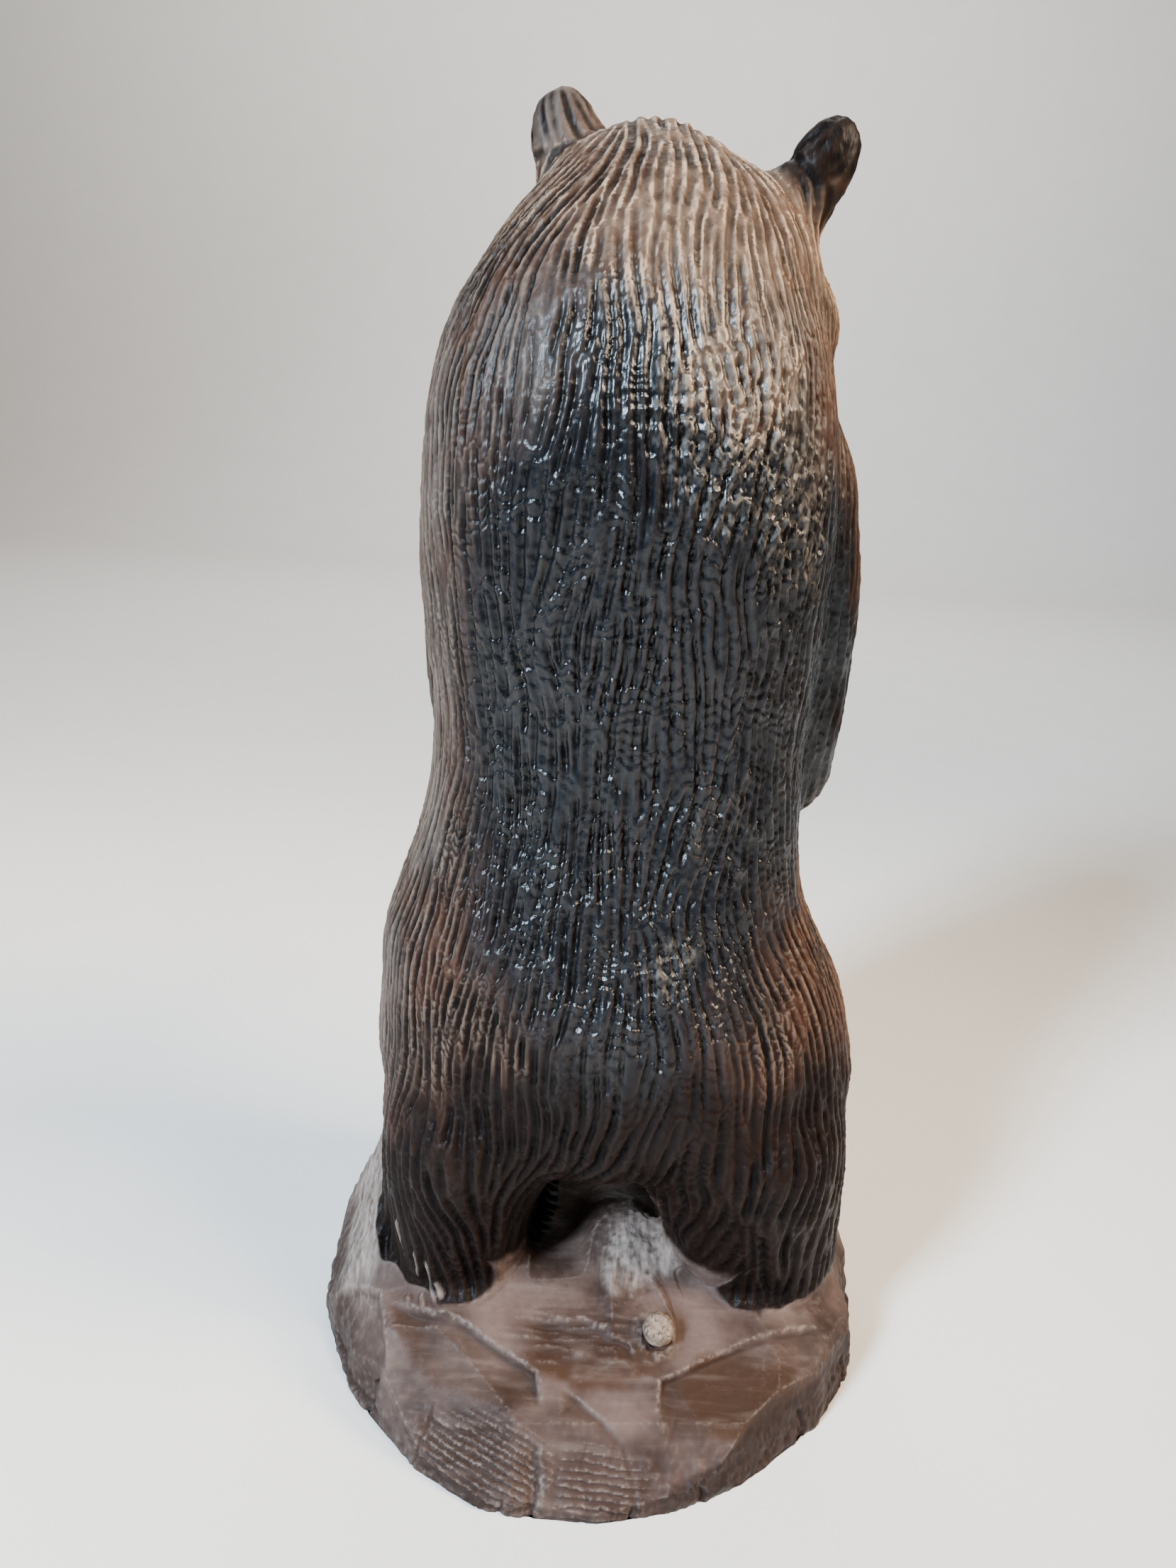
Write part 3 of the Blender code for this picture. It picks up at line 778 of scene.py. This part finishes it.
def carve():
    """Cuts the fur, the face and the rock into the fine block, and stores what the finish depends on."""
    block = fine_block()
    mesh = block.data
    points, out = coordinates(mesh), normals(mesh)
    ground = points[:, 2] < 0.4 * MM
    bear = bear_share(points)
    rock = (1 - bear) * (points[:, 2] < 60 * MM)
    points = pare_rock(points, rock)
    flow = fur_direction(points, out)
    spacing = gouge_spacing(points)
    lift, bare = face_lift(points)
    toes, claws = toe_lift(points)
    back = near(points, (2, 45, 175), (75, 60, 150))
    low_legs = smoothstep(105, 60, points[:, 2] / MM)
    crown = near(points, (-4, 0, 292), (60, 70, 50))
    ears = [near(points, tip, EAR_REACH) for _, tip in EAR_AXES]
    depth = GOUGE_DEPTH + DEEPER_ON_BACK * back + DEEPER_ON_LEGS * low_legs - SHALLOWER_ON_CROWN * crown
    depth *= MM * (1 - 0.75 * near(points, (4, 2, 48), (22, 50, 26)))
    for ear in ears:
        depth *= 1 - 0.8 * ear
    roundness = GOUGE_ROUNDNESS + ROUNDER_ON_CROWN * crown
    between_legs = near(points, (4, -2, 47), (19, 46, 24))
    furred = bear * (1 - bare) * (1 - claws) * ~ground * (between_legs < 0.25)
    cuts = trace_cuts(mesh, points, flow, spacing, furred)
    rows = cut_points(cuts, spacing, depth, roundness)
    groove = groove_depth(points, rows, furred > 0.02) * furred
    scallops = soft_noise(points * SCALLOP_STRETCH, 1.5 * MM, 72)
    scallops += 0.5 * soft_noise(points, 1.1 * MM, 75)
    lumps = 0.45 * soft_noise(points, 14 * MM, 71) + 0.16 * scallops
    lumps += (0.12 + 0.5 * back + 0.1 * low_legs) * (1 - 0.7 * crown) * chips(points)
    crumbs = 0.6 * soft_noise(points, 1.7 * MM, 73) + 0.4 * soft_noise(points, 3.1 * MM, 74)
    strand = strand_share(points)
    outwards = 0.8 * strand + bear * (lumps + tone(points, "dusty") * crumbs)
    outwards += lift + toes - ear_hollow(points) + rock * rock_relief(points)
    moved = points + out * (outwards * MM - groove)[:, None]
    moved[:, 2] = np.maximum(moved[:, 2], 0)
    moved[ground, 2] = 0
    mesh.vertices.foreach_set("co", moved.astype(np.float32).ravel())
    mesh.update()
    height = ridge_height(mesh)
    # painted shade on the mound's steep low sides, stronger on the right, away from the window
    rim_shade = rock * smoothstep(21, 12, points[:, 2] / MM) * smoothstep(0.72, 0.35, out[:, 2])
    # ridge tops, where wear shows and where pale highlights are painted
    ridge_wear_and_highlight = np.maximum(height, 0)
    for ear in ears:
        ridge_wear_and_highlight *= 1 - 0.8 * ear
    shade = {
        "cut": groove / np.maximum(depth, 1e-9),
        "bear": bear,
        "claw": np.maximum(claws, bare),
        "strand": strand,
        "hollow": hollow_share(points),
        "rim_shade": rim_shade * (0.5 + 0.5 * smoothstep(5, -30, points[:, 0] / MM)),
        "ridge_wear_and_highlight": ridge_wear_and_highlight,
        # creases, darkened on the mound as painted shade
        "crease": np.maximum(-height, 0),
    }
    for name in TONES:
        shade[name] = tone(points, name)
    for name, values in shade.items():
        layer = mesh.attributes.new(name, "FLOAT", "POINT")
        layer.data.foreach_set("value", values.astype(np.float32))
    mesh.shade_smooth()
    return block


def weather_knot():
    """The sawn branch stub: a rough, cracked, ringed face."""
    knot = refine("branch_knot", "knot", KNOT_VOXEL)
    mesh = knot.data
    points, out = coordinates(mesh), normals(mesh)
    offset = points / MM - np.array(KNOT_FACE)
    along = offset @ np.array(KNOT_WAY)
    from_axis = np.linalg.norm(offset - along[:, None] * np.array(KNOT_WAY), axis=1)
    face = smoothstep(-1.6, -0.4, along)
    rough = 0.25 * soft_noise(points, 2.6 * MM, 91) + 0.14 * soft_noise(points, 0.9 * MM, 92)
    rough -= face * (0.9 * smoothstep(0.55, 1, from_axis / KNOT_RADIUS) + 0.16 * np.cos(from_axis * 5.2))
    moved = points + out * (np.minimum(rough, 0.12) * MM)[:, None]
    mesh.vertices.foreach_set("co", moved.astype(np.float32).ravel())
    mesh.update()
    mesh.shade_smooth()
    return knot


# ---------------------------------------------------------------- finishes

DARK_BROWN = (0.0042, 0.0021, 0.0018)
RUSSET = (0.036, 0.014, 0.008)
# grey-brown, partly a painted grazing sheen
GREY_TAN = (0.085, 0.066, 0.056)
# near-black stain whose blue tint is a painted reflection of a cool window
BLACK_WITH_BLUE_SHEEN = (0.0030, 0.0040, 0.0058)
# painted shade for the bottoms of the gouges
CUT_BLACK = (0.002, 0.0015, 0.0015)
WORN_TAN = (0.21, 0.145, 0.105)
# pale ridge tops of the head, partly a painted highlight
PALE_TAN = (0.31, 0.215, 0.145)
HEAD_BROWN = (0.125, 0.082, 0.056)
DUST = (0.105, 0.09, 0.074)
ROCK_BROWN = (0.096, 0.064, 0.054)
ROCK_DARK = (0.026, 0.015, 0.012)
# painted shade colour for the mound's rim
RIM_SHADE = (0.015, 0.0085, 0.0068)
# painted shade colour for the hollow faces
ROCK_HOLLOW = (0.030, 0.0175, 0.0125)
ROCK_RUDDY = (0.040, 0.019, 0.0105)
ROCK_PALE = (0.27, 0.215, 0.185)
KNOT_BROWN = (0.105, 0.068, 0.046)
KNOT_PALE = (0.215, 0.155, 0.112)
KNOT_FLECK = (0.055, 0.032, 0.02)
CLAW_BLACK = (0.010, 0.008, 0.007)
GLASS_BLACK = (0.006, 0.004, 0.003)
GLASS_BROWN = (0.030, 0.014, 0.006)
STEEL_DARK = (0.38, 0.37, 0.35)
STEEL_LIGHT = (0.50, 0.49, 0.47)
FLOOR_GREY = (0.70, 0.68, 0.65)
FLOOR_LIGHT = (0.76, 0.74, 0.71)


class Finish:
    """Builds one material out of shader nodes."""

    def __init__(self, name):
        self.material = bpy.data.materials.new(name)
        self.material.use_nodes = True
        self.tree = self.material.node_tree
        self.shader = self.tree.nodes["Principled BSDF"]
        self.place = self.add("ShaderNodeTexCoord").outputs["Object"]

    def add(self, kind):
        return self.tree.nodes.new(kind)

    def put(self, socket, value):
        """Sets a socket to a number or colour, or links it to another socket."""
        if isinstance(value, bpy.types.NodeSocket):
            self.tree.links.new(value, socket)
        elif isinstance(value, tuple) and len(value) == 3 and socket.type == "RGBA":
            socket.default_value = (*value, 1)
        else:
            socket.default_value = value

    def attribute(self, name):
        node = self.add("ShaderNodeAttribute")
        node.attribute_name = name
        return node.outputs["Fac"]

    def noise(self, size, detail=3, stretch=(1, 1, 1)):
        """Noise whose blobs are about size across, drawn out along an axis where stretch is small."""
        mapping = self.add("ShaderNodeMapping")
        self.put(mapping.inputs["Vector"], self.place)
        mapping.inputs["Scale"].default_value = stretch
        node = self.add("ShaderNodeTexNoise")
        self.put(node.inputs["Vector"], mapping.outputs["Vector"])
        node.inputs["Scale"].default_value = 1 / size
        node.inputs["Detail"].default_value = detail
        return node.outputs["Fac"]

    def scale(self, value, low, high, to_low=0.0, to_high=1.0):
        node = self.add("ShaderNodeMapRange")
        node.interpolation_type = "SMOOTHSTEP"
        self.put(node.inputs["Value"], value)
        limits = {"From Min": low, "From Max": high, "To Min": to_low, "To Max": to_high}
        for name, number in limits.items():
            node.inputs[name].default_value = number
        return node.outputs["Result"]

    def combine(self, operation, first, second):
        node = self.add("ShaderNodeMath")
        node.operation = operation
        self.put(node.inputs[0], first)
        self.put(node.inputs[1], second)
        return node.outputs["Value"]

    def times(self, first, second):
        return self.combine("MULTIPLY", first, second)

    def plus(self, first, second):
        return self.combine("ADD", first, second)

    def mix(self, share, first, second):
        node = self.add("ShaderNodeMix")
        node.data_type = "RGBA"
        self.put(node.inputs["Factor"], share)
        self.put(node.inputs[6], first)
        self.put(node.inputs[7], second)
        return node.outputs[2]

    def blend(self, share, first, second):
        node = self.add("ShaderNodeMix")
        self.put(node.inputs["Factor"], share)
        self.put(node.inputs[2], first)
        self.put(node.inputs[3], second)
        return node.outputs[0]

    def bump(self, height, strength, distance):
        node = self.add("ShaderNodeBump")
        self.put(node.inputs["Height"], height)
        node.inputs["Strength"].default_value = strength
        node.inputs["Distance"].default_value = distance
        self.put(self.shader.inputs["Normal"], node.outputs["Normal"])


def carved_wood():
    """Stained wood: black on the back with a painted blue sheen, brown elsewhere, pale on its ridges from
    wear and painted highlight, dusty in parts, with painted shade in gouges, creases, hollows, rim and
    shaded parts.
    """
    finish = Finish("carved_wood")
    cut, bear, ridge_wear_and_highlight = (finish.attribute(name) for name in ("cut", "bear", "ridge_wear_and_highlight"))
    crease = finish.attribute("crease")
    streak = finish.noise(2.2 * MM, 4, (1, 1, 0.12))
    grain = finish.noise(2.6 * MM, 5, (0.14, 1, 1))
    hair = finish.noise(1.5 * MM, 4, (1, 0.2, 0.3))
    blotch = finish.noise(20 * MM, 4)
    speck = finish.noise(1.2 * MM, 4, (1, 1, 0.6))
    pale, black, dusty, dark = (finish.attribute(name) for name in ("pale", "black", "dusty", "dark"))

    fur = finish.mix(finish.scale(blotch, 0.35, 0.65), DARK_BROWN, RUSSET)
    feather = finish.plus(finish.times(streak, 0.45), finish.times(blotch, 0.45))
    black = finish.scale(finish.plus(black, feather), 0.40, 1.15)
    fur = finish.mix(finish.times(finish.attribute("russet"), 0.6), fur, RUSSET)
    # grey patches: partly grey-brown wood, partly painted sheen on the left flank
    grey_and_sheen = finish.times(finish.attribute("grey_and_sheen"), finish.scale(streak, 0.3, 0.7, 0.3, 0.9))
    fur = finish.mix(grey_and_sheen, fur, GREY_TAN)
    fur = finish.mix(finish.times(pale, finish.scale(streak, 0.3, 0.7, 0.3, 0.95)), fur, HEAD_BROWN)
    # painted shade, with some dark stain on the legs, pulls these parts to dark brown and keeps wear and
    # pale ridges off them
    dark = finish.scale(finish.plus(dark, feather), 0.42, 1.25)
    fur = finish.mix(finish.times(dark, 0.92), fur, DARK_BROWN)
    # the black stained back, its blue tint a painted reflection
    fur = finish.mix(finish.times(black, finish.scale(pale, 0.3, 1.0, 1.0, 0.35)), fur, BLACK_WITH_BLUE_SHEEN)
    wear = finish.times(ridge_wear_and_highlight, finish.scale(streak, 0.35, 0.65, 0.25, 0.9))
    wear = finish.times(wear, finish.scale(black, 0.0, 0.8, 0.65, 0.07))
    fur = finish.mix(finish.times(wear, finish.scale(dark, 0.0, 1.0, 1.0, 0.06)), fur, WORN_TAN)
    # painted shade deep in the gouges, weaker on the pale head
    gouge_shade = finish.times(finish.scale(cut, 0.15, 0.8, 0.0, 0.9), finish.scale(pale, 0.2, 0.9, 1.0, 0.62))
    fur = finish.mix(gouge_shade, fur, CUT_BLACK)
    worn = finish.noise(3.2 * MM, 4, (1, 1, 0.2))
    # pale ridge tops on the head: partly pale wear, partly a painted highlight of the warm lamp, kept off
    # the shaded parts
    bright = finish.times(finish.scale(ridge_wear_and_highlight, 0.25, 0.95), finish.scale(worn, 0.42, 0.6, 0.08, 1.0))
    bright = finish.times(bright, finish.scale(dark, 0.0, 0.6, 1.0, 0.0))
    fur = finish.mix(finish.times(bright, finish.scale(pale, 0.05, 0.6)), fur, PALE_TAN)
    fur = finish.mix(finish.times(finish.attribute("strand"), 0.55), fur, ROCK_PALE)
    dust = finish.times(finish.scale(dusty, 0.05, 0.9), finish.scale(speck, 0.42, 0.78))
    dust = finish.times(dust, finish.scale(cut, 0.2, 0.9, 1.0, 0.35))
    fur = finish.mix(finish.times(dust, 0.7), fur, DUST)

    rock = finish.mix(finish.scale(blotch, 0.32, 0.68), ROCK_BROWN, ROCK_DARK)
    rock = finish.mix(finish.scale(finish.attribute("ruddy"), 0.2, 0.8), rock, ROCK_RUDDY)
    # painted shade on the mound's hollow faces
    hollow = finish.times(finish.attribute("hollow"), finish.scale(grain, 0.3, 0.7, 0.62, 0.4))
    rock = finish.mix(hollow, rock, ROCK_HOLLOW)
    # painted shade on the mound's shaded parts
    rock = finish.mix(finish.scale(finish.attribute("painted_shade_rock"), 0.1, 0.9, 0.0, 0.62), rock, ROCK_DARK)
    rock = finish.mix(finish.scale(grain, 0.46, 0.9, 0.0, 0.2), rock, ROCK_PALE)
    bleached = finish.scale(finish.attribute("bleached"), 0.1, 1.0)
    rock = finish.mix(finish.times(bleached, finish.scale(hair, 0.3, 0.7, 0.2, 0.9)), rock, ROCK_PALE)
    # pale ridge edges of the mound: partly wear, partly a painted highlight
    rock = finish.mix(finish.times(ridge_wear_and_highlight, finish.scale(speck, 0.35, 0.75, 0.0, 0.42)), rock, ROCK_PALE)
    # painted shade in the mound's creases
    rock = finish.mix(finish.times(crease, 0.6), rock, ROCK_DARK)
    # painted shade along the mound's rim
    rim_shade = finish.times(finish.attribute("rim_shade"), finish.scale(speck, 0.3, 0.7, 1.0, 0.7))
    rock = finish.mix(rim_shade, rock, RIM_SHADE)

    colour = finish.mix(finish.scale(bear, 0.3, 0.7), rock, fur)
    colour = finish.mix(finish.attribute("claw"), colour, CLAW_BLACK)
    finish.put(finish.shader.inputs["Base Color"], colour)
    finish.put(finish.shader.inputs["Specular IOR Level"], finish.scale(black, 0.0, 1.0, 0.07, 0.30))
    black_gloss = finish.scale(speck, 0.3, 0.7, 0.18, 0.36)
    brown_gloss = finish.scale(streak, 0.3, 0.7, 0.38, 0.58)
    gloss = finish.blend(black, brown_gloss, black_gloss)
    gloss = finish.blend(dust, gloss, 0.9)
    gloss = finish.blend(bear, finish.scale(grain, 0.3, 0.7, 0.42, 0.66), gloss)
    finish.put(finish.shader.inputs["Roughness"], gloss)
    bites = finish.plus(finish.noise(1.0 * MM, 4, (1, 1, 0.25)), finish.noise(2.0 * MM, 2, (1, 1, 0.5)))
    finish.bump(bites, 0.65, 0.3 * MM)
    return finish.material


def knot_wood():
    """Bare, dry end grain with dark flecks."""
    finish = Finish("knot_wood")
    grain = finish.noise(1.6 * MM, 4)
    fleck = finish.noise(0.8 * MM, 3)
    colour = finish.mix(finish.scale(grain, 0.35, 0.65), KNOT_BROWN, KNOT_PALE)
    colour = finish.mix(finish.scale(fleck, 0.5, 0.62), colour, KNOT_FLECK)
    finish.put(finish.shader.inputs["Base Color"], colour)
    finish.put(finish.shader.inputs["Roughness"], finish.scale(grain, 0.3, 0.7, 0.65, 0.85))
    finish.bump(fleck, 0.5, 0.2 * MM)
    return finish.material


def eye_glass():
    """Polished black glass."""
    finish = Finish("eye_glass")
    depth = finish.noise(3 * MM, 1)
    finish.put(finish.shader.inputs["Base Color"], finish.mix(depth, GLASS_BLACK, GLASS_BROWN))
    finish.shader.inputs["Roughness"].default_value = 0.05
    finish.shader.inputs["Coat Weight"].default_value = 1.0
    return finish.material


def wire_steel():
    """Drawn steel."""
    finish = Finish("wire_steel")
    drawn = finish.noise(0.5 * MM, 2)
    finish.put(finish.shader.inputs["Base Color"], finish.mix(drawn, STEEL_DARK, STEEL_LIGHT))
    finish.put(finish.shader.inputs["Roughness"], finish.scale(drawn, 0.3, 0.7, 0.3, 0.45))
    finish.shader.inputs["Metallic"].default_value = 1.0
    return finish.material


def pale_floor():
    """Plain, slightly uneven, matt."""
    finish = Finish("pale_floor")
    mottle = finish.noise(60 * MM, 3)
    finish.put(finish.shader.inputs["Base Color"], finish.mix(mottle, FLOOR_GREY, FLOOR_LIGHT))
    finish.shader.inputs["Roughness"].default_value = 0.7
    return finish.material


# ---------------------------------------------------------------- stage

# Metres
FLOOR_NEAR = 3.0
FLOOR_FAR = 1.6
FLOOR_SIDE = 3.5
BEND = 0.5
BEND_STEPS = 12
BACKDROP_TOP = 2.2


def make_stage():
    """A pale floor that curves up into a pale backdrop on the far side."""
    shape = bmesh.new()
    profile = [(FLOOR_NEAR, 0.0), (-FLOOR_FAR, 0.0)]
    for step in range(1, BEND_STEPS + 1):
        angle = pi / 2 * step / BEND_STEPS
        profile.append((-FLOOR_FAR - BEND * sin(angle), BEND - BEND * cos(angle)))
    profile.append((-FLOOR_FAR - BEND, BACKDROP_TOP))
    rows = [[shape.verts.new((x, y, z)) for y, z in profile] for x in (-FLOOR_SIDE, FLOOR_SIDE)]
    for i in range(len(profile) - 1):
        shape.faces.new((rows[0][i], rows[1][i], rows[1][i + 1], rows[0][i + 1]))
    mesh = bpy.data.meshes.new("floor")
    shape.to_mesh(mesh)
    shape.free()
    mesh.shade_smooth()
    floor = bpy.data.objects.new("floor", mesh)
    bpy.context.scene.collection.objects.link(floor)
    mesh.materials.append(pale_floor())


AIM = (0, 0, 0.16)  # the middle of the bear, m
# Lights: (name, place, (width, height), power in watts, colour, spread in degrees, what it points at), m
LIGHTS = (
    ("window", (0.95, 1.05, 1.0), (0.28, 0.5), 20, (0.66, 0.83, 1.0), 80, AIM),
    ("lamp", (-0.75, 0.5, 1.35), (0.4, 0.4), 5.5, (1.0, 0.80, 0.58), 90, AIM),
    ("wall", (-1.1, 0.25, 0.9), (0.5, 0.5), 3.2, (1.0, 0.80, 0.60), 40, (-0.03, 0, 0.28)),
    ("top", (0.1, -0.9, 1.6), (0.9, 0.9), 8, (1.0, 0.96, 0.90), 150, AIM),
    ("backdrop", (0, -0.8, 1.3), (1.6, 0.6), 26, (1.0, 0.97, 0.93), 160, (0, -2.1, 0.7)),
)
ROOM_COLOUR = (0.93, 0.94, 1.0, 1)
ROOM_STRENGTH = 0.12


def make_lights():
    """A cool window, warm lamps, soft light from above, one light for the backdrop, and a dim room."""
    for name, place, size, power, colour, spread, target in LIGHTS:
        light = bpy.data.lights.new(name, "AREA")
        light.shape = "RECTANGLE"
        light.size, light.size_y = size
        light.energy, light.color, light.spread = power, colour, radians(spread)
        lamp = bpy.data.objects.new(name, light)
        lamp.location = place
        aim = Vector(target) - Vector(place)
        lamp.rotation_euler = aim.to_track_quat("-Z", "Y").to_euler()
        bpy.context.scene.collection.objects.link(lamp)
    world = bpy.data.worlds.new("room")
    bpy.context.scene.world = world
    world.use_nodes = True
    background = world.node_tree.nodes["Background"]
    background.inputs["Color"].default_value = ROOM_COLOUR
    background.inputs["Strength"].default_value = ROOM_STRENGTH


CAMERA_PLACE = Vector((10.8, 278, 250)) * MM
CAMERA_DOWN = radians(18)
CAMERA_ROLL = radians(3.5)
LENS = 26.04  # mm
SENSOR = 36  # mm wide


def make_camera():
    """Stands behind the bear and looks down at it, tipped a little to one side."""
    ahead = Vector((0, -cos(CAMERA_DOWN), -sin(CAMERA_DOWN)))
    level = Vector((-1, 0, 0))
    upwards = level.cross(ahead)
    right = level * cos(CAMERA_ROLL) + upwards * sin(CAMERA_ROLL)
    top = upwards * cos(CAMERA_ROLL) - level * sin(CAMERA_ROLL)
    lens = bpy.data.cameras.new("camera")
    lens.lens, lens.sensor_width, lens.clip_start = LENS, SENSOR, 0.01
    camera = bpy.data.objects.new("camera", lens)
    facing = Matrix((right, top, -ahead)).transposed().to_4x4()
    camera.matrix_world = Matrix.Translation(CAMERA_PLACE) @ facing
    bpy.context.scene.collection.objects.link(camera)
    bpy.context.scene.camera = camera


make_camera()
make_lights()
make_stage()
carving = carve()
carving.data.materials.append(carved_wood())
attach(carving, "root")
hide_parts("carved_bear")
knot = weather_knot()
knot.data.materials.append(knot_wood())
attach(knot, "root")
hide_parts("branch_knot")
for side in ("left", "right"):
    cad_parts[side + "_glass_eye"].material_slots[0].material = eye_glass()
    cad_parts[side + "_eye_wire"].material_slots[0].material = wire_steel()
